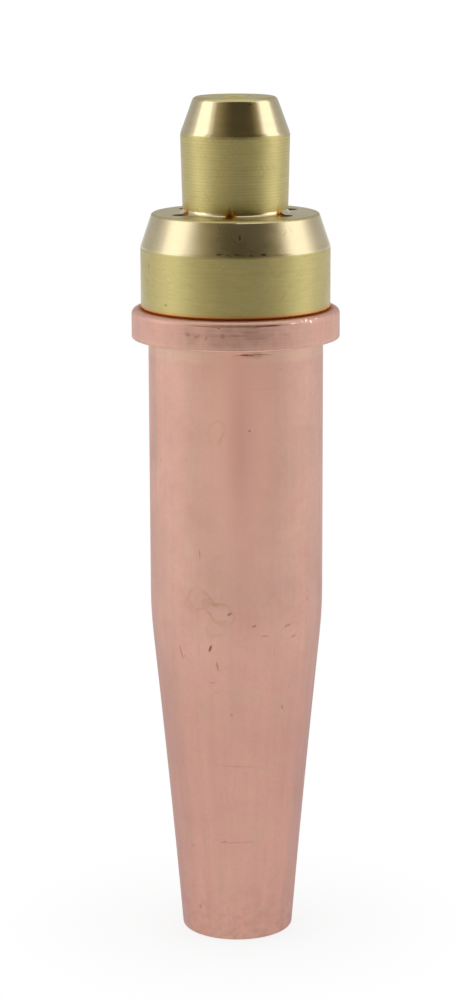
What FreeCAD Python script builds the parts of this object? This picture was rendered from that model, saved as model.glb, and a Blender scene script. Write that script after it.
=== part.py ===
import FreeCAD, Part
import math
import os
import Sketcher
from FreeCAD import Placement, Rotation, Vector

# Two-piece oxy fuel cutting tip. It stands on its discharge end, with the
# origin at the centre of that end and Z up its axis. Sizes are in millimetres
# and angles in degrees. A radius or height that a sketch needs is worked out
# in the second sheet, so a change in the first one reaches every feature.

DRIVING_SIZES = {
    # Heights, from the nose's end face down
    "tip_length": 76.2,
    "nose_length": 10.16,
    "ledge_to_collar_foot": 11.05,
    "collar_height": 2.64,
    # Nose and its seat
    "nose_diameter": 9.652,
    "nose_seat_length": 3.2,
    "nose_seat_angle": 20.2,
    "nose_wall_relief": 0.17,
    "nose_root_fillet": 0.35,
    "nose_corner_round": 1.2,
    "nose_rim_round": 0.55,
    # Preheat ports, drilled down from the ledge and leaning inwards
    "port_count": 6,
    "port_diameter": 1.4,
    "port_graze": 0.07,
    "port_lean": 4.5,
    "port_turn": 95.3,
    # Flange and its seat
    "ledge_rim": 1.41,
    "flange_seat_length": 2.97,
    "flange_seat_angle": 18.8,
    "flange_foot_chamfer": 0.18,
    "flange_corner_round": 1.0,
    "ledge_edge_round": 0.3,
    # Outside of the shell
    "collar_step": 0.84,
    "collar_top_round": 0.5,
    "collar_foot_round": 0.15,
    "nut_shoulder": 1.47,
    "nut_shoulder_fillet": 0.2,
    "taper_length": 32.1,
    "taper_blend_radius": 42.0,
    "taper_hollow_radius": 1400.0,
    "end_diameter": 10.04,
    "end_round": 0.2,
    # Inside of the shell
    "socket_wall": 1.38,
    "socket_depth": 13.0,
    "chamber_taper_length": 19.0,
    "end_wall": 1.62,
    "shell_mouth_chamfer": 0.2,
    # Shank, stem and splined end of the insert
    "shank_clearance": 0.01,
    "shank_length": 7.8,
    "shank_lead": 0.4,
    "stem_step": 0.37,
    "recess_depth": 2.0,
    "spline_clearance": 0.03,
    "spline_length": 19.0,
    "spline_shoulder": 0.8,
    "spline_end_chamfer": 0.15,
    "flute_count": 16,
    "flute_width": 0.6,
    "flute_depth": 0.9,
    "flute_cutter_radius": 10.0,
    # Oxygen passage, drilled in steps
    "inlet_bore_diameter": 2.4,
    "inlet_bore_depth": 9.8,
    "inlet_mouth_chamfer": 0.15,
    "middle_bore_diameter": 2.0,
    "jet_diameter": 1.18,
    "jet_length": 12.0,
    "drill_point_angle": 118.0,
}

WORKED_OUT = {
    # Heights of the shoulders
    "nose_corner_height": "Sizes.tip_length - Sizes.nose_seat_length",
    "ledge_height": "Sizes.tip_length - Sizes.nose_length",
    "flange_corner_height": "ledge_height - Sizes.flange_seat_length",
    "collar_foot_height": "ledge_height - Sizes.ledge_to_collar_foot",
    "joint_height": "collar_foot_height + Sizes.collar_height",
    # Radii of the outside, from the nose outwards and then in to the barrel
    "nose_radius": "Sizes.nose_diameter / 2",
    "nose_face_radius": "nose_radius - Sizes.nose_seat_length * tan(Sizes.nose_seat_angle * 1deg)",
    "nose_root_radius": "nose_radius - Sizes.nose_wall_relief",
    "port_radius": "Sizes.port_diameter / 2",
    "port_circle_radius": "nose_root_radius + port_radius - Sizes.port_graze",
    "ledge_radius": "port_circle_radius + port_radius + Sizes.ledge_rim",
    "flange_radius": "ledge_radius + Sizes.flange_seat_length * tan(Sizes.flange_seat_angle * 1deg)",
    "collar_radius": "flange_radius + Sizes.collar_step",
    "barrel_radius": "collar_radius - Sizes.nut_shoulder",
    "end_radius": "Sizes.end_diameter / 2",
    # Taper: a blend that leaves the barrel, and a slightly hollow run that it meets in line
    "blend_offset": "Sizes.taper_blend_radius - barrel_radius + end_radius",
    "blend_reach": "sqrt(blend_offset ^ 2 + Sizes.taper_length ^ 2)",
    "centre_gap": "Sizes.taper_blend_radius + Sizes.taper_hollow_radius",
    "reach_along": "(blend_reach ^ 2 + centre_gap ^ 2 - Sizes.taper_hollow_radius ^ 2) / (2 * centre_gap)",
    "blend_turn": "atan(Sizes.taper_length / blend_offset) - acos(reach_along / blend_reach)",
    "blend_foot_radius": "barrel_radius - Sizes.taper_blend_radius * (1 - cos(blend_turn))",
    "blend_foot_height": "Sizes.taper_length - Sizes.taper_blend_radius * sin(blend_turn)",
    # Inside of the shell
    "socket_radius": "barrel_radius - Sizes.socket_wall",
    "socket_floor_height": "joint_height - Sizes.socket_depth",
    "shell_bore_radius": "end_radius - Sizes.end_wall",
    "chamber_foot_height": "socket_floor_height - Sizes.chamber_taper_length",
    # Shank, stem and splined end
    "shank_radius": "socket_radius - Sizes.shank_clearance",
    "shank_foot_height": "joint_height - Sizes.shank_length",
    "spline_radius": "shell_bore_radius - Sizes.spline_clearance",
    "stem_radius": "spline_radius - Sizes.stem_step",
    "spline_top_height": "Sizes.recess_depth + Sizes.spline_length",
    "neck_height": "spline_top_height + Sizes.spline_shoulder",
    # Flutes, which the cutter leaves on an arc at their upper end
    "flute_root_radius": "spline_radius - Sizes.flute_depth",
    "flute_clear_radius": "spline_radius + Sizes.flute_depth",
    "flute_foot_height": "Sizes.recess_depth / 2",
    "flute_rise": "flute_clear_radius - flute_root_radius",
    "flute_run_out": "sqrt(flute_rise * (2 * Sizes.flute_cutter_radius - flute_rise))",
    "flute_head_height": "spline_top_height + flute_run_out",
    # Oxygen passage, with a drill point at each step
    "inlet_bore_radius": "Sizes.inlet_bore_diameter / 2",
    "middle_bore_radius": "Sizes.middle_bore_diameter / 2",
    "jet_radius": "Sizes.jet_diameter / 2",
    "drill_point_slope": "1 / tan(Sizes.drill_point_angle / 2 * 1deg)",
    "inlet_floor_height": "Sizes.tip_length - Sizes.inlet_bore_depth",
    "inlet_point_height": "inlet_floor_height - (inlet_bore_radius - middle_bore_radius) * drill_point_slope",
    "jet_top_height": "Sizes.recess_depth + Sizes.jet_length",
    "middle_floor_height": "jet_top_height + (middle_bore_radius - jet_radius) * drill_point_slope",
    # Axis of a preheat port, from above the ledge to below the shank
    "port_slope": "tan(Sizes.port_lean * 1deg)",
    "port_foot_height": "shank_foot_height - Sizes.port_diameter",
    "port_foot_radius": "port_circle_radius - (ledge_height - port_foot_height) * port_slope",
    "port_head_radius": "port_circle_radius + Sizes.nose_length * port_slope",
}

# A corner on an axis of its sketch has AXIS in place of a cell. The others
# are the sketcher's own numbers for the ends of an edge and for its axes.
AXIS = None
START, END = (1, 2)
LEVEL_AXIS, UPRIGHT_AXIS = (-1, -2)
# An edge belongs to a rim when it is this close to the rim's place.
MATCH = 1e-4

doc = FreeCAD.newDocument("CuttingTip")


def fill_sheet(name, cells):
    """Write one sheet, a name and a value or formula to a row."""
    sheet = doc.addObject("Spreadsheet::Sheet", name)
    for row, alias in enumerate(cells, start=1):
        sheet.set(f"A{row}", alias)
        sheet.setAlias(f"B{row}", alias)
    for row, content in enumerate(cells.values(), start=1):
        sheet.set(f"B{row}", str(content))
    return sheet


sizes = fill_sheet("Sizes", DRIVING_SIZES)
places = fill_sheet("Places", {alias: "=" + formula for alias, formula in WORKED_OUT.items()})
doc.recompute()


def sheet_with(alias):
    return sizes if alias in DRIVING_SIZES else places


def value(alias):
    return 0.0 if alias is AXIS else float(sheet_with(alias).get(alias))


def bind(item, target, alias):
    """Tie a property or a sketch dimension to a cell."""
    item.setExpression(target, f"{sheet_with(alias).Name}.{alias}")


def dimension(sketch, kind, geometry, alias):
    index = sketch.addConstraint(Sketcher.Constraint(kind, *geometry, value(alias)))
    bind(sketch, f"Constraints[{index}]", alias)


def constrain(sketch, kind, *geometry):
    sketch.addConstraint(Sketcher.Constraint(kind, *geometry))


def origin_item(body, role):
    return next(item for item in body.Origin.OriginFeatures if item.Role == role)


def new_body(name):
    body = doc.addObject("PartDesign::Body", name)
    body.Label = name
    return body


def new_sketch(body, name):
    """A sketch on the body's XZ plane, with radius across and height up."""
    sketch = body.newObject("Sketcher::SketchObject", name)
    sketch.AttachmentSupport = [(origin_item(body, "XZ_Plane"), "")]
    sketch.MapMode = "FlatFace"
    return sketch


def arc_between(start, end, radius):
    """An anticlockwise arc from start to end, so its centre is on the left."""
    along = end - start
    reach = math.sqrt(radius ** 2 - along.Length ** 2 / 4)
    to_left = Vector(-along.y, along.x, 0).normalize()
    centre = (start + end) / 2 + to_left * reach
    first = math.atan2(start.y - centre.y, start.x - centre.x)
    last = math.atan2(end.y - centre.y, end.x - centre.x)
    if last < first:
        last += 2 * math.pi
    return Part.ArcOfCircle(Part.Circle(centre, Vector(0, 0, 1), radius), first, last)


def draw_outline(sketch, corners, arcs=None):
    """Draw a closed outline through corners, each given by its two cells.

    arcs gives each stretch that is an arc, by the number of the corner that
    it starts from: its radius cell and the side that its centre is on.
    """
    arcs = arcs or {}
    points = [Vector(value(across), value(up), 0) for across, up in corners]
    stretches = []
    for number, start in enumerate(points):
        end = points[(number + 1) % len(points)]
        if number not in arcs:
            line = sketch.addGeometry(Part.LineSegment(start, end), False)
            stretches.append((line, START, END))
            continue
        radius, side = arcs[number]
        if side == "left":
            arc = sketch.addGeometry(arc_between(start, end, value(radius)), False)
            stretches.append((arc, START, END))
        else:
            arc = sketch.addGeometry(arc_between(end, start, value(radius)), False)
            stretches.append((arc, END, START))
        dimension(sketch, "Radius", (arc,), radius)

    for number, (edge, _, far_end) in enumerate(stretches):
        next_edge, near_end, _ = stretches[(number + 1) % len(stretches)]
        constrain(sketch, "Coincident", edge, far_end, next_edge, near_end)
    for number, corner in enumerate(corners):
        after_line = number > 0 and number - 1 not in arcs
        place_corner(sketch, corner, corners[number - 1] if after_line else None, stretches, number)


def place_corner(sketch, corner, corner_before, stretches, number):
    """Fix where a stretch starts: on an axis, level with the corner before, or by a dimension."""
    edge, near_end, _ = stretches[number]
    line_before = stretches[number - 1][0]
    across, up = corner
    across_before, up_before = corner_before or ("", "")
    if across is AXIS:
        constrain(sketch, "PointOnObject", edge, near_end, UPRIGHT_AXIS)
    elif across == across_before:
        constrain(sketch, "Vertical", line_before)
    else:
        dimension(sketch, "DistanceX", (edge, near_end), across)
    if up is AXIS:
        constrain(sketch, "PointOnObject", edge, near_end, LEVEL_AXIS)
    elif up == up_before:
        constrain(sketch, "Horizontal", line_before)
    else:
        dimension(sketch, "DistanceY", (edge, near_end), up)


def turn(body, kind, name, sketch, axis="V_Axis"):
    """Revolve a sketch once round an axis, to make metal or to cut it."""
    volume_before = body.Shape.Volume if body.Tip else 0.0
    feature = body.newObject(f"PartDesign::{kind}", name)
    feature.Profile = sketch
    feature.ReferenceAxis = (sketch, [axis])
    feature.Angle = 360
    doc.recompute()
    check_cut(feature, kind == "Groove", volume_before)
    return feature


def check_cut(feature, is_cut, volume_before):
    volume = feature.Shape.Volume
    if volume <= 0 or (is_cut and volume >= volume_before):
        raise RuntimeError(f"{feature.Name} left the metal as it was")


def repeat_round(body, name, original, count):
    """Copy one cut evenly round the body's axis."""
    pattern = body.newObject("PartDesign::PolarPattern", name)
    pattern.Originals = [original]
    pattern.Axis = (origin_item(body, "Z_Axis"), [""])
    pattern.Angle = 360
    bind(pattern, "Occurrences", count)
    body.Tip = pattern
    doc.recompute()
    return pattern


def find_rim(feature, radius, height):
    """The name of the turned edge with this radius at this height."""
    for number, edge in enumerate(feature.Shape.Edges, start=1):
        curve = edge.Curve
        if curve.TypeId != "Part::GeomCircle":
            continue
        if abs(curve.Radius - value(radius)) < MATCH and abs(curve.Center.z - value(height)) < MATCH:
            return f"Edge{number}"
    raise RuntimeError(f"no edge at {radius}, {height}")


def dress(body, kind, name, rims, size):
    """Round or chamfer turned edges, each given by its radius and height cells."""
    base = body.Tip
    feature = body.newObject(f"PartDesign::{kind}", name)
    feature.Base = (base, [find_rim(base, *rim) for rim in rims])
    bind(feature, "Radius" if kind == "Fillet" else "Size", size)
    doc.recompute()


def make_copper_shell():
    """Turned outside with collar, barrel and taper; bored out for the insert and the gas."""
    body = new_body("copper_shell")
    section = new_sketch(body, "shell_section")
    corners = [
        ("shell_bore_radius", AXIS),
        ("end_radius", AXIS),
        ("blend_foot_radius", "blend_foot_height"),
        ("barrel_radius", "taper_length"),
        ("barrel_radius", "collar_foot_height"),
        ("collar_radius", "collar_foot_height"),
        ("collar_radius", "joint_height"),
        ("socket_radius", "joint_height"),
        ("socket_radius", "socket_floor_height"),
        ("shell_bore_radius", "chamber_foot_height"),
    ]
    hollow = corners.index(("end_radius", AXIS))
    blend = hollow + 1
    taper_arcs = {hollow: ("taper_hollow_radius", "right"), blend: ("taper_blend_radius", "left")}
    draw_outline(section, corners, taper_arcs)
    turn(body, "Revolution", "turned_shell", section)

    dress(body, "Fillet", "collar_top_edge", [("collar_radius", "joint_height")], "collar_top_round")
    dress(body, "Fillet", "collar_foot_edge", [("collar_radius", "collar_foot_height")], "collar_foot_round")
    dress(body, "Fillet", "nut_corner", [("barrel_radius", "collar_foot_height")], "nut_shoulder_fillet")
    dress(body, "Fillet", "end_edge", [("end_radius", AXIS)], "end_round")
    dress(body, "Chamfer", "mouth_edge", [("shell_bore_radius", AXIS)], "shell_mouth_chamfer")
    return body


def make_brass_insert():
    """Turned nose, flange, shank and splined end; drilled for the gases and fluted."""
    body = new_body("brass_insert")
    section = new_sketch(body, "insert_section")
    draw_outline(section, [
        (AXIS, "recess_depth"),
        ("spline_radius", "recess_depth"),
        ("spline_radius", "spline_top_height"),
        ("stem_radius", "neck_height"),
        ("stem_radius", "shank_foot_height"),
        ("shank_radius", "shank_foot_height"),
        ("shank_radius", "joint_height"),
        ("flange_radius", "joint_height"),
        ("flange_radius", "flange_corner_height"),
        ("ledge_radius", "ledge_height"),
        ("nose_root_radius", "ledge_height"),
        ("nose_radius", "nose_corner_height"),
        ("nose_face_radius", "tip_length"),
        (AXIS, "tip_length"),
    ])
    turn(body, "Revolution", "turned_insert", section)

    dress(body, "Fillet", "ledge_edge", [("ledge_radius", "ledge_height")], "ledge_edge_round")
    dress(body, "Fillet", "flange_corner", [("flange_radius", "flange_corner_height")], "flange_corner_round")
    dress(body, "Fillet", "nose_corner", [("nose_radius", "nose_corner_height")], "nose_corner_round")
    dress(body, "Fillet", "nose_rim", [("nose_face_radius", "tip_length")], "nose_rim_round")
    dress(body, "Fillet", "nose_root", [("nose_root_radius", "ledge_height")], "nose_root_fillet")
    dress(body, "Chamfer", "flange_foot", [("flange_radius", "joint_height")], "flange_foot_chamfer")
    dress(body, "Chamfer", "shank_lead_edge", [("shank_radius", "shank_foot_height")], "shank_lead")
    dress(body, "Chamfer", "spline_end_edge", [("spline_radius", "recess_depth")], "spline_end_chamfer")

    drill_oxygen_passage(body)
    drill_preheat_ports(body)
    mill_flutes(body)
    return body


def drill_oxygen_passage(body):
    """A bore in the nose, a longer one behind it, and the fine jet at the splined end."""
    passage = new_sketch(body, "oxygen_passage")
    draw_outline(passage, [
        (AXIS, AXIS),
        ("jet_radius", AXIS),
        ("jet_radius", "jet_top_height"),
        ("middle_bore_radius", "middle_floor_height"),
        ("middle_bore_radius", "inlet_point_height"),
        ("inlet_bore_radius", "inlet_floor_height"),
        ("inlet_bore_radius", "tip_length"),
        (AXIS, "tip_length"),
    ])
    turn(body, "Groove", "drilled_passage", passage)
    mouth = [("inlet_bore_radius", "tip_length")]
    dress(body, "Chamfer", "inlet_mouth", mouth, "inlet_mouth_chamfer")


def drill_preheat_ports(body):
    """Ports from the ledge, grazing the nose, that come out under the shank."""
    sketch = new_sketch(body, "port_drill")
    sketch.AttachmentOffset = Placement(Vector(0, 0, 0), Rotation(Vector(0, 1, 0), -value("port_turn")))
    sketch.setExpression("AttachmentOffset.Rotation.Angle", "-Sizes.port_turn")

    head = Vector(value("port_head_radius"), value("tip_length"), 0)
    foot = Vector(value("port_foot_radius"), value("port_foot_height"), 0)
    aside = Vector(head.y - foot.y, foot.x - head.x, 0).normalize() * value("port_radius")
    corners = [head, foot, foot + aside, head + aside]
    sides = []
    for number, start in enumerate(corners):
        end = corners[(number + 1) % len(corners)]
        sides.append(sketch.addGeometry(Part.LineSegment(start, end), False))
    for number, side in enumerate(sides):
        constrain(sketch, "Coincident", side, END, sides[(number + 1) % len(sides)], START)
    for side, next_side in zip(sides, sides[1:]):
        constrain(sketch, "Perpendicular", side, next_side)
    axis, floor = sides[:2]
    dimension(sketch, "DistanceX", (axis, START), "port_head_radius")
    dimension(sketch, "DistanceY", (axis, START), "tip_length")
    dimension(sketch, "DistanceX", (axis, END), "port_foot_radius")
    dimension(sketch, "DistanceY", (axis, END), "port_foot_height")
    dimension(sketch, "Distance", (floor,), "port_radius")

    port = turn(body, "Groove", "preheat_port", sketch, "Edge1")
    repeat_round(body, "preheat_ports", port, "port_count")


def mill_flutes(body):
    """Gas flutes along the splined end, left on the radius of the slitting cutter."""
    sketch = new_sketch(body, "flute_path")
    corners = [
        ("flute_root_radius", "flute_foot_height"),
        ("flute_root_radius", "spline_top_height"),
        ("flute_clear_radius", "flute_head_height"),
        ("flute_clear_radius", "flute_foot_height"),
    ]
    run_out = corners.index(("flute_root_radius", "spline_top_height"))
    draw_outline(sketch, corners, {run_out: ("flute_cutter_radius", "right")})
    volume_before = body.Shape.Volume
    flute = body.newObject("PartDesign::Pocket", "flute")
    flute.Profile = sketch
    flute.SideType = "Symmetric"
    bind(flute, "Length", "flute_width")
    doc.recompute()
    check_cut(flute, True, volume_before)
    repeat_round(body, "flutes", flute, "flute_count")


bodies = [make_copper_shell(), make_brass_insert()]
doc.recompute()

for item in doc.Objects:
    if "Invalid" in item.State or "Error" in item.State:
        raise RuntimeError(f"{item.Name} failed: {item.State}")
for body in bodies:
    shape = body.Shape
    if shape.isNull() or not shape.isValid() or len(shape.Solids) != 1:
        raise RuntimeError(f"{body.Label} is not one sound solid")

os.makedirs("parts", exist_ok=True)
for body in bodies:
    body.Shape.exportStep(f"parts/{body.Label}.step")
    box = body.Shape.optimalBoundingBox()
    print(f"{body.Label}: volume {body.Shape.Volume:.1f} mm3, z {box.ZMin:.2f} to {box.ZMax:.2f} mm")
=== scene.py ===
# An oxy fuel cutting tip standing on its discharge end: a turned brass insert in a swaged copper shell.
# Metres throughout, with Z up the tip's axis. The camera stands at -Y.
import math

import bpy
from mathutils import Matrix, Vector

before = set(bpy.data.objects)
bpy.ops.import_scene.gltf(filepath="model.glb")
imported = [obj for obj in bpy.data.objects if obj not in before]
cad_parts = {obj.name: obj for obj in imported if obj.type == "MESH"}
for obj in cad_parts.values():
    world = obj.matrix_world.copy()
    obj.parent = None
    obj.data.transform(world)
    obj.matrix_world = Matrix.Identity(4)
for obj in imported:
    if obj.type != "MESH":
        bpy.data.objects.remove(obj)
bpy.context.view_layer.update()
bpy.ops.object.select_all(action="DESELECT")
scene = bpy.context.scene
mm = 0.001
print("frame loaded:", ", ".join(sorted(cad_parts)))


def hexColour(text):
    # sRGB hex to the linear values that the sockets take
    parts = [int(text[i:i + 2], 16) / 255 for i in (1, 3, 5)]
    return [p / 12.92 if p <= 0.04045 else ((p + 0.055) / 1.055) ** 2.4 for p in parts] + [1.0]


def addNode(tree, kind, inputs=None, **settings):
    # inputs: socket name or number -> a value, a node (its first output) or one output socket
    node = tree.nodes.new(kind)
    for name, setting in settings.items():
        setattr(node, name, setting)
    for socket, value in (inputs or {}).items():
        if isinstance(value, bpy.types.Node):
            tree.links.new(value.outputs[0], node.inputs[socket])
        elif isinstance(value, bpy.types.NodeSocket):
            tree.links.new(value, node.inputs[socket])
        else:
            node.inputs[socket].default_value = value
    return node


def newMaterial(name):
    material = bpy.data.materials.new(name)
    material.use_nodes = True
    material.node_tree.nodes.clear()
    return material, material.node_tree


# the camera
cameraSpot = {
    "distance": 241.27 * mm,
    "height": 92.32 * mm,
    "pitch": 12.215,        # degrees below level
    "sideStep": -0.607 * mm,  # the tip stands a little right of the picture's middle
    "roll": -0.207,         # degrees, the picture leans that much
    "lens": 98.594,         # mm on a 36 mm long side
}
bpy.ops.object.camera_add(
    location=(cameraSpot["sideStep"], -cameraSpot["distance"], cameraSpot["height"]),
    rotation=(math.radians(90 - cameraSpot["pitch"]), 0, 0),
)
camera = bpy.context.object
camera.name = "camera"
camera.rotation_euler.rotate_axis("Z", math.radians(cameraSpot["roll"]))
camera.data.lens = cameraSpot["lens"]
camera.data.sensor_width = 36
camera.data.clip_start = 5 * mm
camera.data.clip_end = 20
scene.camera = camera
print("camera placed")

# the studio
studio = {
    "floorSize": 6.0,
    "floorDrop": 0.05 * mm,     # just under the tip's end face
    "floorColour": "#F2F2F2",
    "floorGlowNear": 0.8,      # share of the floor that is plain white to the eye, by the tip
    "floorNear": 3 * mm,
    "floorFar": 26 * mm,        # from here out the floor is plain white
    "fill": 0.85,               # the room's soft light on everything
    "leanHeight": 0.27,         # the dark wall's middle is straight from here up
    "aimHeight": 45 * mm,       # where on the tip the lamps point
    "walls": {
        # metres, and how bright each is in its middle and at its ends
        "darkWall": {"away": -0.32, "aside": 0.105, "wide": 1.11, "foot": 0.0, "top": 0.62, "lean": 0.35,
                     "darkest": 0.10, "core": 0.12, "middle": 0.10, "ends": 0.5, "colour": "#FFEFC0"},
        "dimWall": {"away": 0.25, "aside": 0.0, "wide": 1.6, "foot": 0.06, "top": 0.50, "lean": 0.0,
                    "darkest": 0.0, "core": 0.3, "middle": 0.62, "ends": 1.0, "colour": "#FFFFFF"},
    },
    "lamps": [
        # name, azimuth from the camera's side, distance, height, width, length, brightness
        ("softboxLeft", -84, 0.42, 0.20, 0.26, 0.40, 1.1),
        ("softboxRight", 89, 0.42, 0.20, 0.26, 0.40, 1.0),
        ("softboxTop", 180, 0.10, 0.55, 0.40, 0.30, 0.45),
    ],
}


def paperFloor():
    # matt white paper: shadows fall on it, and it runs out into the white of the room
    material, tree = newMaterial("mattWhitePaper")
    path = addNode(tree, "ShaderNodeLightPath")
    seen = addNode(tree, "ShaderNodeMath", {0: path.outputs["Is Camera Ray"], 1: path.outputs["Is Glossy Ray"]},
                   operation="ADD")
    seen = addNode(tree, "ShaderNodeMath", {0: seen, 1: path.outputs["Is Transmission Ray"]},
                   operation="ADD", use_clamp=True)
    spot = addNode(tree, "ShaderNodeTexCoord").outputs["Object"]
    outward = addNode(tree, "ShaderNodeVectorMath", {0: spot}, operation="LENGTH").outputs["Value"]
    share = addNode(tree, "ShaderNodeMapRange", {
        "Value": outward, "From Min": studio["floorNear"], "From Max": studio["floorFar"],
        "To Min": studio["floorGlowNear"], "To Max": 1.0}, interpolation_type="SMOOTHSTEP")
    share = addNode(tree, "ShaderNodeMath", {0: share, 1: seen}, operation="MULTIPLY")
    paper = addNode(tree, "ShaderNodeBsdfDiffuse", {"Color": hexColour(studio["floorColour"])})
    glow = addNode(tree, "ShaderNodeEmission", {"Strength": 1.0})
    surface = addNode(tree, "ShaderNodeMixShader", {0: share, 1: paper, 2: glow})
    # open from underneath, so that the tip's end can be looked at
    under = addNode(tree, "ShaderNodeMath", {
        0: addNode(tree, "ShaderNodeNewGeometry").outputs["Backfacing"], 1: path.outputs["Is Camera Ray"]},
        operation="MULTIPLY")
    clear = addNode(tree, "ShaderNodeBsdfTransparent")
    surface = addNode(tree, "ShaderNodeMixShader", {0: under, 1: surface, 2: clear})
    addNode(tree, "ShaderNodeOutputMaterial", {"Surface": surface})
    return material


bpy.ops.mesh.primitive_plane_add(size=studio["floorSize"], location=(0, 0, -studio["floorDrop"]))
floor = bpy.context.object
floor.name = "floor"
floor.data.materials.append(paperFloor())
bpy.ops.object.transform_apply(location=True, rotation=True, scale=True)


def roomWall(name, wall):
    # a part of the room that only the metal sees: dark behind the camera, dim behind the tip
    bpy.ops.mesh.primitive_plane_add(size=1)
    side = bpy.context.object
    side.name = name
    side.scale = (wall["wide"], wall["top"] - wall["foot"], 1)
    side.rotation_euler = (math.radians(90), 0, 0)
    side.location = (wall["aside"], wall["away"], (wall["top"] + wall["foot"]) / 2)
    bpy.ops.object.transform_apply(location=True, rotation=True, scale=True)
    side.visible_camera = False
    side.visible_shadow = False
    side.visible_diffuse = False
    material, tree = newMaterial(name + "Paint")
    spot = addNode(tree, "ShaderNodeTexCoord").outputs["Object"]
    parts = addNode(tree, "ShaderNodeSeparateXYZ", {0: spot})
    # lean moves the dark middle to the right lower down
    middle = addNode(tree, "ShaderNodeMapRange", {
        "Value": parts.outputs["Z"], "From Min": 0.0, "From Max": studio["leanHeight"],
        "To Min": wall["darkest"] + wall["lean"] * studio["leanHeight"], "To Max": wall["darkest"]})
    sideways = addNode(tree, "ShaderNodeMath", {0: parts.outputs["X"], 1: middle}, operation="SUBTRACT")
    sideways = addNode(tree, "ShaderNodeMath", {0: sideways}, operation="ABSOLUTE")
    gleam = addNode(tree, "ShaderNodeMapRange", {
        "Value": sideways, "From Min": wall["core"], "From Max": wall["wide"] / 2,
        "To Min": wall["middle"], "To Max": wall["ends"]}, interpolation_type="SMOOTHSTEP")
    addNode(tree, "ShaderNodeOutputMaterial", {
        "Surface": addNode(tree, "ShaderNodeEmission", {"Color": hexColour(wall["colour"]), "Strength": gleam})})
    side.data.materials.append(material)


for name, wall in studio["walls"].items():
    roomWall(name, wall)

for name, azimuth, distance, height, width, length, brightness in studio["lamps"]:
    around = math.radians(azimuth)
    spot = Vector((math.sin(around) * distance, -math.cos(around) * distance, height))
    aim = (Vector((0, 0, studio["aimHeight"])) - spot).to_track_quat("-Z", "Y")
    bpy.ops.object.light_add(type="AREA", location=spot)
    lamp = bpy.context.object
    lamp.name = name
    lamp.rotation_euler = aim.to_euler()
    lamp.data.shape = "RECTANGLE"
    lamp.data.size, lamp.data.size_y = width, length
    lamp.data.energy = brightness * math.pi * width * length  # watts that give that radiance
    lamp.visible_camera = False

world = bpy.data.worlds.new("room")
scene.world = world
world.use_nodes = True
tree = world.node_tree
tree.nodes.clear()
path = addNode(tree, "ShaderNodeLightPath")
seen = addNode(tree, "ShaderNodeMath", {0: path.outputs["Is Camera Ray"], 1: path.outputs["Is Glossy Ray"]},
               operation="ADD")
seen = addNode(tree, "ShaderNodeMath", {0: seen, 1: path.outputs["Is Transmission Ray"]},
               operation="ADD", use_clamp=True)
level = addNode(tree, "ShaderNodeMapRange", {"Value": seen, "To Min": studio["fill"], "To Max": 1.0})
room = addNode(tree, "ShaderNodeBackground", {"Color": (1, 1, 1, 1), "Strength": level})
addNode(tree, "ShaderNodeOutputWorld", {"Surface": room})
scene.view_settings.view_transform = "Standard"
print("studio lit with", len(studio["lamps"]), "lamps")


def markMask(tree, spot, wobble, marks):
    # a mark is an uneven patch on the surface, or the rim of one where it is a dried drop
    mask = None
    for mark in marks:
        turn = math.radians(mark["angle"])  # from the front towards +X
        reach = mark["radius"] * mm
        patch = addNode(tree, "ShaderNodeMapping", {
            "Vector": spot,
            "Location": (math.sin(turn) * reach, -math.cos(turn) * reach, mark["height"] * mm),
            "Rotation": (0, math.radians(mark.get("tilt", 0)), turn),
            "Scale": (mark["wide"] / 2 * mm, 2 * mm, mark["tall"] / 2 * mm)}, vector_type="TEXTURE")
        away = addNode(tree, "ShaderNodeVectorMath", {0: patch}, operation="LENGTH").outputs["Value"]
        away = addNode(tree, "ShaderNodeMath", {0: away, 1: wobble}, operation="ADD")
        if mark.get("rim"):
            away = addNode(tree, "ShaderNodeMath", {0: away, 1: 0.8}, operation="SUBTRACT")
            away = addNode(tree, "ShaderNodeMath", {0: away}, operation="ABSOLUTE")
            away = addNode(tree, "ShaderNodeMath", {0: away, 1: 1 / mark["rim"]}, operation="MULTIPLY")
        fade = addNode(tree, "ShaderNodeMapRange", {
            "Value": away, "From Min": mark.get("core", 0.3), "From Max": 1.0,
            "To Min": mark["strength"], "To Max": 0.0}, interpolation_type="SMOOTHSTEP")
        mask = addNode(tree, "ShaderNodeMath", {0: mask, 1: fade}, operation="MAXIMUM") if mask else fade
    return mask


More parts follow.
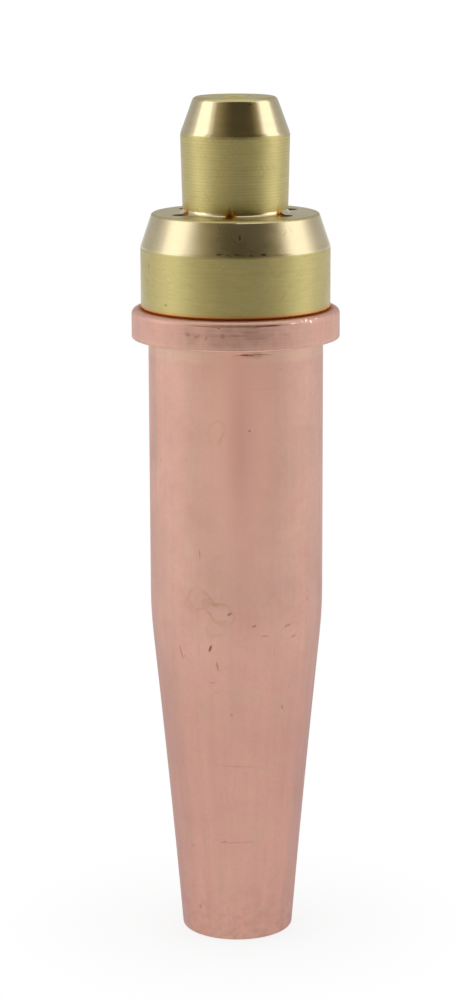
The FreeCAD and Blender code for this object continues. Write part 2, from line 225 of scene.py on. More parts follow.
# Free-cutting brass, turned and left bright: satin walls with fine cut lines, and seats burnished
# nearly to a mirror, so that the dark side of the room stands in them as a hard band.
# The orange line at the joint with the copper is a painted reflection of the copper.
brassLook = {
    "wallColour": "#B9AC74",
    "seatColour": "#C9BB98",
    "wallRoughness": 0.42,
    "polished": [
        # lowest and highest point in mm, roughness
        (73.0, 76.0, 0.17),         # the nose's seat
        (63.05, 65.9, 0.28),        # the flange's seat
        (66.06, 66.42, 0.14),       # the fillet at the nose's root
    ],
    "seatFade": 0.04,               # mm
    "turned": 0.35,                 # how much more it smears upright, across the cut lines, than round
    "cutLine": 0.30,                # mm from line to line, twice the real feed so that it shows
    "cutDepth": 0.0007,             # mm
    "brushed": 0.14,                # mm, short marks of the emery cloth along the turn, wider than real ones
    "brushedLength": 1.3,
    "brushedDepth": 0.0016,
    "feed": 0.27,                   # mm, the even lines of the last cut on the nose
    "feedFrom": 66.6,               # between these heights
    "feedTo": 72.7,
    "scuffWidth": 0.14,             # mm, drawn twice as wide as real ones so that they show
    "scuffLength": 1.0,
    "scuffSlant": 48,               # degrees from upright, both ways
    "scuffRadius": 8.4,             # mm, where the slant is true
    "scuffDepth": 0.003,
    "scuffColour": "#8F835C",
    "patch": 2.6,                   # mm, wear that comes and goes
    "broad": 4.5,
    "blotch": 0.5,
    "grime": "#241608",
    "portResidue": "#C69A4C",
    # painted reflection: the copper's orange seen in the flange's foot
    "jointCopperReflection": "#D89C5C",
    "ports": {"count": 6, "circle": 5.286, "mouth": 66.04, "lean": 4.5, "first": -5.3, "reach": 0.84},
    "jointHeight": 57.63,
    "marks": [
        # grime caught along the lower edge of the flange's seat, and a few knocks
        {"angle": -10.0, "height": 63.30, "radius": 8.3, "wide": 0.9, "tall": 0.24, "strength": 0.75},
        {"angle": -5.0, "height": 63.25, "radius": 8.3, "wide": 0.5, "tall": 0.16, "strength": 0.5},
        {"angle": 1.0, "height": 63.28, "radius": 8.3, "wide": 1.0, "tall": 0.20, "strength": 0.6},
        {"angle": 9.0, "height": 63.22, "radius": 8.3, "wide": 0.6, "tall": 0.2, "strength": 0.6},
        {"angle": 16.2, "height": 63.25, "radius": 8.3, "wide": 0.9, "tall": 0.30, "strength": 0.8},
        {"angle": 2.7, "height": 64.69, "radius": 7.85, "wide": 0.26, "tall": 0.8, "strength": 0.8},
        {"angle": 33.0, "height": 64.9, "radius": 7.8, "wide": 0.12, "tall": 0.8, "tilt": 35, "strength": 0.3},
        {"angle": 38.2, "height": 65.1, "radius": 7.7, "wide": 0.12, "tall": 1.0, "tilt": -30, "strength": 0.2},
        {"angle": 20.0, "height": 75.7, "radius": 3.9, "wide": 0.5, "tall": 0.2, "strength": 0.6},
        {"angle": -64.2, "height": 61.84, "radius": 8.4, "wide": 0.3, "tall": 0.5, "strength": 0.4},
        {"angle": -46.2, "height": 58.63, "radius": 8.4, "wide": 0.5, "tall": 0.25, "strength": 0.35},
        {"angle": 130.0, "height": 60.2, "radius": 8.4, "wide": 0.4, "tall": 0.7, "tilt": 20, "strength": 0.4},
        {"angle": 171.0, "height": 63.3, "radius": 8.3, "wide": 0.9, "tall": 0.24, "strength": 0.6},
    ],
}


def turnedBrass():
    look = brassLook
    material, tree = newMaterial("turnedBrass")
    spot = addNode(tree, "ShaderNodeTexCoord").outputs["Object"]
    parts = addNode(tree, "ShaderNodeSeparateXYZ", {0: spot})
    height = parts.outputs["Z"]
    flat = addNode(tree, "ShaderNodeVectorMath", {0: spot, 1: (1, 1, 0)}, operation="MULTIPLY")
    outward = addNode(tree, "ShaderNodeVectorMath", {0: flat}, operation="LENGTH").outputs["Value"]

    # the polished zones by their heights, with a short fade at each end
    seat = rough = None
    for low, high, polish in look["polished"]:
        away = addNode(tree, "ShaderNodeMath", {0: height, 1: (low + high) / 2 * mm}, operation="SUBTRACT")
        away = addNode(tree, "ShaderNodeMath", {0: away}, operation="ABSOLUTE")
        zone = addNode(tree, "ShaderNodeMapRange", {
            "Value": away, "From Min": ((high - low) / 2 + look["seatFade"]) * mm,
            "From Max": ((high - low) / 2 - look["seatFade"]) * mm})
        seat = addNode(tree, "ShaderNodeMath", {0: seat, 1: zone}, operation="MAXIMUM") if seat else zone
        rough = addNode(tree, "ShaderNodeMix", {0: zone, 2: rough.outputs[0] if rough else look["wallRoughness"],
                                                3: polish})

    # cut lines run round the axis, and height plus radius counts them along the profile
    along = addNode(tree, "ShaderNodeMath", {0: height, 1: outward}, operation="ADD")
    cut = addNode(tree, "ShaderNodeTexNoise", {
        "W": along, "Scale": 1 / (look["cutLine"] * mm), "Detail": 3.0, "Roughness": 0.65},
        noise_dimensions="1D")
    patch = addNode(tree, "ShaderNodeTexNoise", {
        "Vector": spot, "Scale": 1 / (look["patch"] * mm), "Detail": 3.0, "Roughness": 0.55})
    # short brushed marks on the walls only
    wall = addNode(tree, "ShaderNodeMath", {0: 1.0, 1: seat}, operation="SUBTRACT")
    drawn = addNode(tree, "ShaderNodeMapping", {"Vector": spot, "Scale": (
        1 / (look["brushedLength"] * mm), 1 / (look["brushedLength"] * mm), 1 / (look["brushed"] * mm))})
    brushed = addNode(tree, "ShaderNodeTexNoise", {"Vector": drawn, "Scale": 1.0, "Detail": 2.0, "Roughness": 0.6})
    brushed = addNode(tree, "ShaderNodeMapRange", {"Value": brushed, "From Min": 0.3, "From Max": 0.7,
                                                   "To Min": -0.5, "To Max": 0.5})
    brushed = addNode(tree, "ShaderNodeMath", {0: brushed, 1: wall}, operation="MULTIPLY")
    # on the nose the last cut's even lines come and go
    feed = addNode(tree, "ShaderNodeMath", {0: height, 1: 2 * math.pi / (look["feed"] * mm)}, operation="MULTIPLY")
    feed = addNode(tree, "ShaderNodeMath", {0: feed}, operation="SINE")
    onNose = addNode(tree, "ShaderNodeMath", {
        0: height, 1: (look["feedFrom"] + look["feedTo"]) / 2 * mm, 2: (look["feedTo"] - look["feedFrom"]) / 2 * mm},
        operation="COMPARE")
    broad = addNode(tree, "ShaderNodeTexNoise", {"Vector": spot, "Scale": 1 / (look["broad"] * mm), "Detail": 1.0})
    comes = addNode(tree, "ShaderNodeMapRange", {"Value": broad, "From Min": 0.4, "From Max": 0.6})
    onNose = addNode(tree, "ShaderNodeMath", {0: onNose, 1: comes}, operation="MULTIPLY")
    feed = addNode(tree, "ShaderNodeMath", {0: feed, 1: onNose}, operation="MULTIPLY")
    blotch = addNode(tree, "ShaderNodeTexNoise", {
        "Vector": spot, "Scale": 1 / (look["blotch"] * mm), "Detail": 4.0, "Roughness": 0.7})
    wobble = addNode(tree, "ShaderNodeMapRange", {"Value": blotch, "From Min": 0.25, "From Max": 0.75,
                                                  "To Min": -0.35, "To Max": 0.35})

    # scuffs slant both ways: the space is wound round the axis, and streaks run up it
    scuffs = []
    for way in (1, -1):
        wind = addNode(tree, "ShaderNodeMath", {
            0: height, 1: way * math.tan(math.radians(look["scuffSlant"])) / (look["scuffRadius"] * mm)},
            operation="MULTIPLY")
        wound = addNode(tree, "ShaderNodeVectorRotate", {"Vector": spot, "Angle": wind}, rotation_type="Z_AXIS")
        wound = addNode(tree, "ShaderNodeMapping", {"Vector": wound, "Scale": (
            1 / (look["scuffWidth"] * mm), 1 / (look["scuffWidth"] * mm), 1 / (look["scuffLength"] * mm))})
        streak = addNode(tree, "ShaderNodeTexNoise", {"Vector": wound, "Scale": 1.0, "Detail": 1.0})
        scuffs.append(addNode(tree, "ShaderNodeMapRange", {
            "Value": streak, "From Min": 0.6, "From Max": 0.72}, interpolation_type="SMOOTHSTEP"))
    scuff = addNode(tree, "ShaderNodeMath", {0: scuffs[0], 1: scuffs[1]}, operation="MAXIMUM")
    worn = addNode(tree, "ShaderNodeMapRange", {"Value": patch, "From Min": 0.42, "From Max": 0.62})
    scuff = addNode(tree, "ShaderNodeMath", {0: scuff, 1: worn}, operation="MULTIPLY")
    scuff = addNode(tree, "ShaderNodeMath", {0: scuff, 1: wall}, operation="MULTIPLY")

    # brown residue in and round the preheat ports: one sixth of the turn stands for them all
    ports = look["ports"]
    bearing = addNode(tree, "ShaderNodeMath", {
        0: parts.outputs["X"], 1: addNode(tree, "ShaderNodeMath", {0: parts.outputs["Y"], 1: -1.0},
                                          operation="MULTIPLY")}, operation="ARCTAN2")
    bearing = addNode(tree, "ShaderNodeMath", {0: bearing, 1: math.radians(ports["first"])}, operation="SUBTRACT")
    half = math.pi / ports["count"]
    bearing = addNode(tree, "ShaderNodeMath", {0: bearing, 1: half, 2: -half}, operation="WRAP")
    down = addNode(tree, "ShaderNodeMath", {0: height, 1: ports["mouth"] * mm}, operation="SUBTRACT")
    centre = addNode(tree, "ShaderNodeMath", {
        0: down, 1: math.tan(math.radians(ports["lean"])), 2: ports["circle"] * mm}, operation="MULTIPLY_ADD")
    sideways = addNode(tree, "ShaderNodeMath", {
        0: outward, 1: addNode(tree, "ShaderNodeMath", {0: bearing}, operation="SINE")}, operation="MULTIPLY")
    inOut = addNode(tree, "ShaderNodeMath", {
        0: outward, 1: addNode(tree, "ShaderNodeMath", {0: bearing}, operation="COSINE")}, operation="MULTIPLY")
    inOut = addNode(tree, "ShaderNodeMath", {0: inOut, 1: centre}, operation="SUBTRACT")
    fromPort = addNode(tree, "ShaderNodeVectorMath", {
        0: addNode(tree, "ShaderNodeCombineXYZ", {0: sideways, 1: inOut})}, operation="LENGTH").outputs["Value"]
    uneven = addNode(tree, "ShaderNodeMath", {0: wobble, 1: 0.25 * mm, 2: fromPort}, operation="MULTIPLY_ADD")
    residue = addNode(tree, "ShaderNodeMapRange", {
        "Value": uneven, "From Min": ports["reach"] * mm, "From Max": (ports["reach"] - 0.1) * mm})
    below = addNode(tree, "ShaderNodeMapRange", {
        "Value": height, "From Min": (ports["mouth"] + 1.0) * mm, "From Max": (ports["mouth"] + 0.3) * mm})
    residue = addNode(tree, "ShaderNodeMath", {0: residue, 1: below}, operation="MULTIPLY")

    # a painted reflection of the copper: an orange-brown line on the flange's foot at the joint
    rise = addNode(tree, "ShaderNodeMath", {0: wobble, 1: 0.12 * mm, 2: height}, operation="MULTIPLY_ADD")
    jointShadeAndReflection = addNode(tree, "ShaderNodeMapRange", {
        "Value": rise, "From Min": (look["jointHeight"] + 0.5) * mm, "From Max": (look["jointHeight"] + 0.15) * mm,
        "To Max": 0.85}, interpolation_type="SMOOTHSTEP")
    # port residue, and the painted joint reflection
    residueAndPaintedJoint = addNode(tree, "ShaderNodeMath", {0: residue, 1: jointShadeAndReflection}, operation="MAXIMUM")
    marks = markMask(tree, spot, wobble, look["marks"])

    colour = addNode(tree, "ShaderNodeMix", {
        0: seat, 6: hexColour(look["wallColour"]), 7: hexColour(look["seatColour"])}, data_type="RGBA")
    shade = addNode(tree, "ShaderNodeMapRange", {"Value": cut, "From Min": 0.3, "From Max": 0.7,
                                                 "To Min": 0.975, "To Max": 1.02})
    shade = addNode(tree, "ShaderNodeMath", {0: feed, 1: 0.05, 2: shade}, operation="MULTIPLY_ADD")
    shade = addNode(tree, "ShaderNodeMath", {0: brushed, 1: 0.1, 2: shade}, operation="MULTIPLY_ADD")
    mottle = addNode(tree, "ShaderNodeMapRange", {"Value": patch, "From Min": 0.3, "From Max": 0.7,
                                                  "To Min": 0.95, "To Max": 1.04})
    shade = addNode(tree, "ShaderNodeMath", {0: shade, 1: mottle}, operation="MULTIPLY")
    colour = addNode(tree, "ShaderNodeVectorMath", {0: colour.outputs[2], 1: shade}, operation="MULTIPLY")
    faint = addNode(tree, "ShaderNodeMath", {0: scuff, 1: 0.34}, operation="MULTIPLY")
    colour = addNode(tree, "ShaderNodeMix", {0: faint, 6: colour.outputs[0], 7: hexColour(look["scuffColour"])},
                     data_type="RGBA")
    colour = addNode(tree, "ShaderNodeMix", {0: residue, 6: colour.outputs[2], 7: hexColour(look["portResidue"])},
                     data_type="RGBA")
    colour = addNode(tree, "ShaderNodeMix", {0: jointShadeAndReflection, 6: colour.outputs[2], 7: hexColour(look["jointCopperReflection"])},
                     data_type="RGBA")
    colour = addNode(tree, "ShaderNodeMix", {0: marks, 6: colour.outputs[2], 7: hexColour(look["grime"])},
                     data_type="RGBA")

    smear = addNode(tree, "ShaderNodeMapRange", {"Value": patch, "From Min": 0.3, "From Max": 0.7,
                                                 "To Min": 0.85, "To Max": 1.2})
    rough = addNode(tree, "ShaderNodeMath", {0: rough, 1: smear}, operation="MULTIPLY")
    # grime, port residue and the painted joint reflection all roughen the surface
    grimeResidueAndPaintedJoint = addNode(tree, "ShaderNodeMath", {0: residueAndPaintedJoint, 1: marks}, operation="MAXIMUM")
    rough = addNode(tree, "ShaderNodeMath", {0: grimeResidueAndPaintedJoint, 1: 0.12, 2: rough}, operation="MULTIPLY_ADD")

    relief = addNode(tree, "ShaderNodeBump", {
        "Height": cut, "Strength": 1.0, "Distance": look["cutDepth"] * mm})
    relief = addNode(tree, "ShaderNodeBump", {
        "Height": brushed, "Normal": relief, "Strength": 1.0, "Distance": look["brushedDepth"] * mm})
    relief = addNode(tree, "ShaderNodeBump", {
        "Height": scuff, "Normal": relief, "Strength": 1.0, "Distance": look["scuffDepth"] * mm})
    metal = addNode(tree, "ShaderNodeBsdfPrincipled", {
        "Base Color": colour.outputs[2], "Roughness": rough, "Normal": relief, "Metallic": 1.0,
        "Anisotropic": look["turned"], "Anisotropic Rotation": 0.25})
    addNode(tree, "ShaderNodeOutputMaterial", {"Surface": metal})
    return material


# Electrolytic copper, drawn and swaged to its taper, then tumbled: a soft satin that smears what it
# reflects sideways, streaked along the draw, duller where it was worked hardest, with dried drips,
# a few nicks and a smoke-dark patch on the collar.
# Painted light on the copper: a sheen and a purple reflection down the barrel, glints in the collar's chips, and
# shade under the flange.
copperLook = {
    "barrel": "#E2B6A6",
    "taper": "#D6A596",
    "tarnish": "#BE9286",
    "rosy": "#D89E90",      # patches that lean to pink
    "tan": "#CDAA8E",       # and to tan
    "taperFrom": 36,        # mm, the barrel's colour above, the taper's below
    "taperTo": 18,
    "shoulder": "#E4C8AE",  # paler band that the nut has rubbed under the collar
    "shoulderFrom": 53.55,
    "shoulderTo": 55.1,
    "roughness": 0.52,
    "taperRoughness": 0.46,
    "drawn": 0.5,           # how much more it smears sideways than upright
    "edge": "#BED6E7",      # thin tarnish keeps its rims cool and even
    "mottle": 6.0,          # mm
    "patches": 2.2,
    "streak": 1.3,          # mm wide
    "streakLength": 30.0,
    "grain": 0.3,
    "blotch": 0.7,
    "waver": 1.3,
    "streakDepth": 0.006,   # mm
    "blotchDepth": 0.005,
    "dentDepth": 0.03,
    "cutLine": 0.17,        # mm, lathe lines on the collar, wider than real ones so that they show
    "collarFoot": 54.99,
    "linesFrom": 48.0,      # below the collar the lines fade out by here
    "dotSpacing": 2.9,
    "stainColour": "#BC9164",
    "nickColour": "#7E4630",
    "footSoil": "#A67258",
    "smokeColour": "#7A5048",
    # colour of the painted sheen
    "sheenColour": "#FFC9B7",
    # colour of the painted purple reflection
    "purpleReflectionColour": "#C48C88",
    # near white, for the painted glints on the chips
    "glintColour": "#FFE9DC",
    # painted shade in the gap under the brass flange
    "jointShadeColour": "#C67238",
    "jointRadius": 8.407,
    "jointFrom": 57.3,      # only the collar's top face takes the painted shade line
    "drips": [
        # dried drips, darkest at their rims
        {"angle": -27.0, "height": 32.65, "radius": 7.77, "wide": 2.3, "tall": 2.2, "rim": 0.26, "strength": 0.3},
        {"angle": -11.0, "height": 31.5, "radius": 7.7, "wide": 3.0, "tall": 1.8, "tilt": 35, "rim": 0.3,
         "strength": 0.5},
        {"angle": -9.6, "height": 30.75, "radius": 7.7, "wide": 1.8, "tall": 0.4, "tilt": -8, "strength": 0.5},
        {"angle": -17.5, "height": 32.9, "radius": 7.77, "wide": 0.3, "tall": 3.4, "tilt": -42, "strength": 0.4},
        {"angle": -17.8, "height": 32.8, "radius": 7.77, "wide": 0.5, "tall": 0.4, "strength": 0.7},
        {"angle": -14.0, "height": 29.9, "radius": 7.6, "wide": 2.0, "tall": 1.8, "rim": 0.26, "strength": 0.2},
        {"angle": -12.5, "height": 47.7, "radius": 7.77, "wide": 1.7, "tall": 2.3, "rim": 0.25, "strength": 0.18},
        {"angle": 38.0, "height": 29.5, "radius": 7.58, "wide": 2.2, "tall": 1.5, "rim": 0.22, "strength": 0.26},
        {"angle": 20.0, "height": 51.5, "radius": 7.77, "wide": 5.0, "tall": 0.4, "core": 0.0, "strength": 0.12},
        {"angle": 140.0, "height": 38.0, "radius": 7.77, "wide": 2.4, "tall": 3.4, "rim": 0.24, "strength": 0.4},
        {"angle": -150.0, "height": 26.0, "radius": 7.2, "wide": 3.0, "tall": 2.2, "rim": 0.24, "strength": 0.36},
    ],
    "nicks": [
        {"angle": -18.2, "height": 28.15, "radius": 7.46, "wide": 0.3, "tall": 0.95, "tilt": 22, "strength": 0.8},
        {"angle": -4.8, "height": 31.5, "radius": 7.73, "wide": 0.6, "tall": 0.34, "tilt": -30, "strength": 0.5},
        {"angle": 11.3, "height": 30.34, "radius": 7.63, "wide": 0.55, "tall": 0.22, "tilt": -15, "strength": 0.5},
        {"angle": 34.6, "height": 30.0, "radius": 7.6, "wide": 0.22, "tall": 0.5, "tilt": 35, "strength": 0.5},
        {"angle": 8.5, "height": 47.9, "radius": 7.77, "wide": 0.3, "tall": 0.2, "strength": 0.5},
        {"angle": 6.0, "height": 54.55, "radius": 7.77, "wide": 2.0, "tall": 0.26, "strength": 0.8},
        {"angle": 16.0, "height": 54.55, "radius": 7.77, "wide": 2.2, "tall": 0.16, "tilt": 4, "strength": 0.5},
        {"angle": -16.2, "height": 57.22, "radius": 9.22, "wide": 3.2, "tall": 0.14, "strength": 0.5},
        {"angle": 16.7, "height": 57.24, "radius": 9.22, "wide": 3.8, "tall": 0.2, "strength": 0.8},
        {"angle": -9.1, "height": 57.12, "radius": 9.24, "wide": 0.26, "tall": 0.26, "strength": 0.6},
        {"angle": -120.0, "height": 20.0, "radius": 6.7, "wide": 0.4, "tall": 0.9, "tilt": -30, "strength": 0.5},
    ],
    "specks": [
        # too shallow to catch the light
        {"angle": 18.3, "height": 29.34, "radius": 7.55, "wide": 1.2, "tall": 0.26, "strength": 0.25},
        {"angle": 36.6, "height": 30.1, "radius": 7.6, "wide": 0.5, "tall": 0.2, "tilt": 20, "strength": 0.45},
        {"angle": 41.3, "height": 28.93, "radius": 7.52, "wide": 0.9, "tall": 0.22, "strength": 0.25},
        {"angle": -13.5, "height": 26.6, "radius": 7.32, "wide": 0.2, "tall": 1.1, "tilt": -12, "strength": 0.45},
        {"angle": -17.0, "height": 25.0, "radius": 7.2, "wide": 0.9, "tall": 0.16, "strength": 0.3},
        {"angle": 26.1, "height": 27.55, "radius": 7.41, "wide": 0.12, "tall": 1.2, "strength": 0.3},
        {"angle": -41.1, "height": 27.4, "radius": 7.36, "wide": 0.2, "tall": 1.6, "tilt": -14, "strength": 0.4},
        {"angle": 35.0, "height": 22.37, "radius": 6.95, "wide": 0.24, "tall": 0.6, "tilt": -20, "strength": 0.35},
        {"angle": -3.9, "height": 22.0, "radius": 6.95, "wide": 0.3, "tall": 0.5, "strength": 0.25},
        {"angle": -24.6, "height": 36.7, "radius": 7.77, "wide": 0.14, "tall": 1.2, "strength": 0.4},
        {"angle": -27.1, "height": 56.5, "radius": 9.24, "wide": 0.5, "tall": 0.5, "tilt": 35, "strength": 0.3},
        {"angle": -21.3, "height": 56.3, "radius": 9.24, "wide": 0.9, "tall": 0.24, "tilt": -20, "strength": 0.3},
        {"angle": -16.2, "height": 56.2, "radius": 9.24, "wide": 0.4, "tall": 0.6, "tilt": 25, "strength": 0.3},
        {"angle": -6.9, "height": 56.4, "radius": 9.24, "wide": 0.5, "tall": 0.7, "tilt": -25, "strength": 0.28},
        {"angle": 6.9, "height": 56.7, "radius": 9.24, "wide": 2.4, "tall": 0.14, "strength": 0.4},
        {"angle": 2.0, "height": 56.45, "radius": 9.24, "wide": 2.8, "tall": 0.12, "strength": 0.3},
        {"angle": 10.5, "height": 56.2, "radius": 9.24, "wide": 2.2, "tall": 0.12, "strength": 0.3},
        {"angle": 30.0, "height": 53.1, "radius": 7.77, "wide": 0.5, "tall": 0.22, "tilt": 30, "strength": 0.35},
        {"angle": 9.0, "height": 57.1, "radius": 9.24, "wide": 1.2, "tall": 0.14, "strength": 0.4},
        {"angle": -26.3, "height": 56.4, "radius": 9.25, "wide": 0.4, "tall": 0.6, "tilt": 30, "strength": 0.45},
        {"angle": 1.0, "height": 17.05, "radius": 6.49, "wide": 4.4, "tall": 0.2, "tilt": 2, "strength": 0.18},
        {"angle": -12.0, "height": 9.7, "radius": 5.84, "wide": 0.9, "tall": 0.14, "tilt": -20, "strength": 0.35},
        {"angle": 1.5, "height": 9.65, "radius": 5.84, "wide": 4.0, "tall": 0.2, "tilt": -2, "strength": 0.18},
        {"angle": -40.3, "height": 2.92, "radius": 5.26, "wide": 0.3, "tall": 0.4, "strength": 0.4},
        {"angle": 160.0, "height": 44.0, "radius": 7.77, "wide": 0.2, "tall": 1.6, "tilt": 10, "strength": 0.45},
        {"angle": 95.0, "height": 49.0, "radius": 7.77, "wide": 1.1, "tall": 0.2, "tilt": 12, "strength": 0.45},
    ],
    "smoke": [
        {"angle": 4.5, "height": 56.3, "radius": 9.24, "wide": 11.0, "tall": 2.8, "core": 0.0, "strength": 0.24},
        {"angle": -23.0, "height": 56.3, "radius": 9.24, "wide": 3.4, "tall": 1.6, "core": 0.0, "strength": 0.16},
        {"angle": 9.5, "height": 54.5, "radius": 7.77, "wide": 3.6, "tall": 0.8, "core": 0.0, "strength": 0.3},
        {"angle": -155.0, "height": 56.3, "radius": 9.24, "wide": 4.0, "tall": 2.0, "core": 0.0, "strength": 0.3},
    ],
    "paintedSheen": [
        # a painted sheen: paler down the front and the back, lifting the dark reflected band there
        {"angle": 1.0, "height": 50.0, "radius": 7.77, "wide": 10.5, "tall": 46.0, "core": 0.0, "strength": 0.85},
        {"angle": 182.0, "height": 46.0, "radius": 7.77, "wide": 9.0, "tall": 40.0, "core": 0.0, "strength": 0.6},
    ],
    "purpleReflection": [
        # a painted reflection: a faint purple along the middle of the barrel
        {"angle": 2.5, "height": 46.0, "radius": 7.77, "wide": 4.2, "tall": 24.0, "core": 0.0, "strength": 0.3},
        {"angle": 3.0, "height": 34.0, "radius": 7.77, "wide": 3.4, "tall": 20.0, "core": 0.0, "strength": 0.1},
        {"angle": 172.0, "height": 42.0, "radius": 7.77, "wide": 3.0, "tall": 24.0, "core": 0.0, "strength": 0.12},
    ],
    "chipsAndGlints": [
        # small dents on the collar's upper edge, coloured near white as painted glints
        {"angle": 32.8, "height": 57.3, "radius": 9.2, "wide": 0.9, "tall": 0.16, "strength": 0.8},
        {"angle": 38.5, "height": 57.38, "radius": 9.15, "wide": 0.4, "tall": 0.22, "tilt": 40, "strength": 0.8},
        {"angle": 41.6, "height": 57.42, "radius": 9.1, "wide": 0.5, "tall": 0.3, "tilt": -35, "strength": 1.0},
        {"angle": 44.6, "height": 57.28, "radius": 9.22, "wide": 0.45, "tall": 0.34, "tilt": 20, "strength": 1.0},
        {"angle": 49.5, "height": 57.42, "radius": 9.11, "wide": 0.5, "tall": 0.16, "strength": 0.7},
    ],
}


def swagedCopper():
    look = copperLook
    material, tree = newMaterial("swagedCopper")
    spot = addNode(tree, "ShaderNodeTexCoord").outputs["Object"]
    height = addNode(tree, "ShaderNodeSeparateXYZ", {0: spot}).outputs["Z"]
    flat = addNode(tree, "ShaderNodeVectorMath", {0: spot, 1: (1, 1, 0)}, operation="MULTIPLY")
    outward = addNode(tree, "ShaderNodeVectorMath", {0: flat}, operation="LENGTH").outputs["Value"]
    mottle = addNode(tree, "ShaderNodeTexNoise", {
        "Vector": spot, "Scale": 1 / (look["mottle"] * mm), "Detail": 5.0, "Roughness": 0.6})
    patches = addNode(tree, "ShaderNodeTexNoise", {
        "Vector": spot, "Scale": 1 / (look["patches"] * mm), "Detail": 3.0, "Roughness": 0.55})
    grain = addNode(tree, "ShaderNodeTexNoise", {
        "Vector": spot, "Scale": 1 / (look["grain"] * mm), "Detail": 3.0, "Roughness": 0.6})
    blotch = addNode(tree, "ShaderNodeTexNoise", {
        "Vector": spot, "Scale": 1 / (look["blotch"] * mm), "Detail": 4.0, "Roughness": 0.65})
    wobble = addNode(tree, "ShaderNodeMapRange", {"Value": blotch, "From Min": 0.25, "From Max": 0.75,
                                                  "To Min": -0.4, "To Max": 0.4})
    slow = addNode(tree, "ShaderNodeTexNoise", {"Vector": spot, "Scale": 1 / (look["waver"] * mm), "Detail": 1.5})
    waver = addNode(tree, "ShaderNodeMapRange", {"Value": slow, "From Min": 0.25, "From Max": 0.75,
                                                 "To Min": -0.4, "To Max": 0.4})
    along = addNode(tree, "ShaderNodeMapping", {"Vector": spot, "Scale": (
        1 / (look["streak"] * mm), 1 / (look["streak"] * mm), 1 / (look["streakLength"] * mm))})
    streak = addNode(tree, "ShaderNodeTexNoise", {"Vector": along, "Scale": 1.0, "Detail": 3.0, "Roughness": 0.6})

    # the barrel is paler than the worked taper, and both lean to pink or to tan in patches
    lower = addNode(tree, "ShaderNodeMapRange", {
        "Value": height, "From Min": look["taperFrom"] * mm, "From Max": look["taperTo"] * mm},
        interpolation_type="SMOOTHSTEP")
    colour = addNode(tree, "ShaderNodeMix", {
        0: lower, 6: hexColour(look["barrel"]), 7: hexColour(look["taper"])}, data_type="RGBA")
    for field, start, full, tint in ((mottle, 0.4, 0.75, "tarnish"), (patches, 0.52, 0.72, "rosy"),
                                     (patches, 0.48, 0.28, "tan")):
        share = addNode(tree, "ShaderNodeMapRange", {
            "Value": field, "From Min": start, "From Max": full, "To Max": 0.32})
        colour = addNode(tree, "ShaderNodeMix", {0: share, 6: colour.outputs[2], 7: hexColour(look[tint])},
                         data_type="RGBA")

    # the pale band under the collar, with an uneven lower edge
    rise = addNode(tree, "ShaderNodeMath", {0: waver, 1: 0.5 * mm, 2: height}, operation="MULTIPLY_ADD")
    band = addNode(tree, "ShaderNodeMapRange", {
        "Value": rise, "From Min": look["shoulderFrom"] * mm, "From Max": (look["shoulderFrom"] + 0.35) * mm})
    under = addNode(tree, "ShaderNodeMath", {0: height, 1: look["shoulderTo"] * mm}, operation="LESS_THAN")
    band = addNode(tree, "ShaderNodeMath", {0: band, 1: under}, operation="MULTIPLY")
    band = addNode(tree, "ShaderNodeMath", {0: band, 1: 0.35}, operation="MULTIPLY")
    colour = addNode(tree, "ShaderNodeMix", {0: band, 6: colour.outputs[2], 7: hexColour(look["shoulder"])},
                     data_type="RGBA")

    # the last few millimetres are soiled in specks
    foot = addNode(tree, "ShaderNodeMapRange", {
        "Value": height, "From Min": 6.5 * mm, "From Max": 0.5 * mm, "To Max": 0.28})
    grit = addNode(tree, "ShaderNodeMapRange", {"Value": blotch, "From Min": 0.44, "From Max": 0.66})
    foot = addNode(tree, "ShaderNodeMath", {0: foot, 1: grit}, operation="MULTIPLY")
    colour = addNode(tree, "ShaderNodeMix", {0: foot, 6: colour.outputs[2], 7: hexColour(look["footSoil"])},
                     data_type="RGBA")

    # streaks along the draw, a fine grain, and lathe lines on the collar
    shade = addNode(tree, "ShaderNodeMapRange", {"Value": streak, "From Min": 0.3, "From Max": 0.7,
                                                 "To Min": 0.91, "To Max": 1.06})
    fine = addNode(tree, "ShaderNodeMapRange", {"Value": grain, "From Min": 0.3, "From Max": 0.7,
                                                "To Min": 0.975, "To Max": 1.025})
    shade = addNode(tree, "ShaderNodeMath", {0: shade, 1: fine}, operation="MULTIPLY")
    smoke = markMask(tree, spot, waver, look["smoke"])
    cut = addNode(tree, "ShaderNodeTexNoise", {
        "W": height, "Scale": 1 / (look["cutLine"] * mm), "Detail": 2.0, "Roughness": 0.7}, noise_dimensions="1D")
    cut = addNode(tree, "ShaderNodeMapRange", {"Value": cut, "From Min": 0.3, "From Max": 0.7,
                                               "To Min": -0.5, "To Max": 0.5})
    collar = addNode(tree, "ShaderNodeMath", {0: height, 1: look["collarFoot"] * mm}, operation="GREATER_THAN")
    faintly = addNode(tree, "ShaderNodeMapRange", {
        "Value": height, "From Min": look["linesFrom"] * mm, "From Max": look["collarFoot"] * mm, "To Max": 0.7})
    collar = addNode(tree, "ShaderNodeMath", {0: collar, 1: faintly}, operation="MAXIMUM")
    deep = addNode(tree, "ShaderNodeMath", {0: smoke, 1: 1.7, 2: 0.06}, operation="MULTIPLY_ADD")
    cut = addNode(tree, "ShaderNodeMath", {0: cut, 1: deep}, operation="MULTIPLY")
    cut = addNode(tree, "ShaderNodeMath", {0: cut, 1: collar}, operation="MULTIPLY")
    shade = addNode(tree, "ShaderNodeMath", {0: shade, 1: cut}, operation="ADD")
    colour = addNode(tree, "ShaderNodeVectorMath", {0: colour.outputs[2], 1: shade}, operation="MULTIPLY")

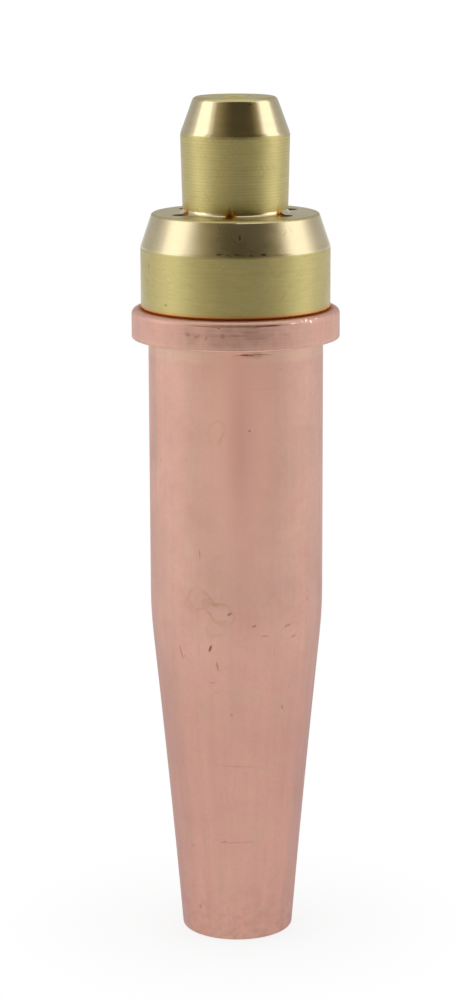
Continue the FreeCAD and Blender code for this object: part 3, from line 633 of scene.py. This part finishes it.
    # dots of tarnish, fewer where the mottling is light
    cells = addNode(tree, "ShaderNodeTexVoronoi", {"Vector": spot, "Scale": 1 / (look["dotSpacing"] * mm)})
    dots = addNode(tree, "ShaderNodeMapRange", {
        "Value": cells.outputs["Distance"], "From Min": 0.07, "From Max": 0.02, "To Max": 0.4})
    dots = addNode(tree, "ShaderNodeMath", {0: dots, 1: mottle}, operation="MULTIPLY")
    broken = addNode(tree, "ShaderNodeMapRange", {"Value": slow, "From Min": 0.38, "From Max": 0.58,
                                                  "To Min": 0.35, "To Max": 1.0})
    drips = addNode(tree, "ShaderNodeMath", {
        0: markMask(tree, spot, waver, look["drips"]), 1: broken}, operation="MULTIPLY")
    nicks = markMask(tree, spot, wobble, look["nicks"])
    specks = addNode(tree, "ShaderNodeMath", {
        0: markMask(tree, spot, wobble, look["specks"]), 1: dots}, operation="MAXIMUM")
    specks = addNode(tree, "ShaderNodeMath", {0: specks, 1: nicks}, operation="MAXIMUM")
    purpleReflection = markMask(tree, spot, 0.0, look["purpleReflection"])
    paintedSheen = markMask(tree, spot, 0.0, look["paintedSheen"])
    chipsAndGlints = markMask(tree, spot, wobble, look["chipsAndGlints"])

    # painted shade: a darker orange line on the collar's top face where the brass flange sits on it
    reach = addNode(tree, "ShaderNodeMath", {0: wobble, 1: 0.1 * mm, 2: outward}, operation="MULTIPLY_ADD")
    jointShadeAndReflection = addNode(tree, "ShaderNodeMapRange", {
        "Value": reach, "From Min": (look["jointRadius"] + 0.35) * mm, "From Max": (look["jointRadius"] + 0.05) * mm})
    top = addNode(tree, "ShaderNodeMath", {0: height, 1: look["jointFrom"] * mm}, operation="GREATER_THAN")
    jointShadeAndReflection = addNode(tree, "ShaderNodeMath", {0: jointShadeAndReflection, 1: top}, operation="MULTIPLY")

    # painted sheen, then painted reflection, stains, smoke, nicks, painted glints and painted joint shade, in that
    # order
    colour = addNode(tree, "ShaderNodeMix", {
        0: paintedSheen, 6: colour.outputs[0], 7: hexColour(look["sheenColour"])}, data_type="RGBA")
    for share, tint in ((purpleReflection, "purpleReflectionColour"), (drips, "stainColour"), (smoke, "smokeColour"), (specks, "nickColour"),
                        (chipsAndGlints, "glintColour"), (jointShadeAndReflection, "jointShadeColour")):
        colour = addNode(tree, "ShaderNodeMix", {0: share, 6: colour.outputs[2], 7: hexColour(look[tint])},
                         data_type="RGBA")

    worked = addNode(tree, "ShaderNodeMix", {0: lower, 2: look["roughness"], 3: look["taperRoughness"]})
    rough = addNode(tree, "ShaderNodeMapRange", {
        "Value": streak, "From Min": 0.3, "From Max": 0.7, "To Min": 0.88, "To Max": 1.12})
    rough = addNode(tree, "ShaderNodeMath", {0: rough, 1: worked}, operation="MULTIPLY")
    rough = addNode(tree, "ShaderNodeMath", {0: chipsAndGlints, 1: -0.2, 2: rough}, operation="MULTIPLY_ADD")
    relief = addNode(tree, "ShaderNodeBump", {
        "Height": streak, "Strength": 1.0, "Distance": look["streakDepth"] * mm})
    relief = addNode(tree, "ShaderNodeBump", {
        "Height": blotch, "Normal": relief, "Strength": 1.0, "Distance": look["blotchDepth"] * mm})
    dents = addNode(tree, "ShaderNodeMath", {0: nicks, 1: chipsAndGlints}, operation="MAXIMUM")
    relief = addNode(tree, "ShaderNodeBump", {
        "Height": dents, "Normal": relief, "Strength": 1.0, "Distance": look["dentDepth"] * mm}, invert=True)
    metal = addNode(tree, "ShaderNodeBsdfPrincipled", {
        "Base Color": colour.outputs[2], "Roughness": rough, "Normal": relief, "Metallic": 1.0,
        "Anisotropic": look["drawn"], "Specular Tint": hexColour(look["edge"])})
    addNode(tree, "ShaderNodeOutputMaterial", {"Surface": metal})
    return material


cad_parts["brass_insert"].material_slots[0].material = turnedBrass()
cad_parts["copper_shell"].material_slots[0].material = swagedCopper()
print("metals finished")
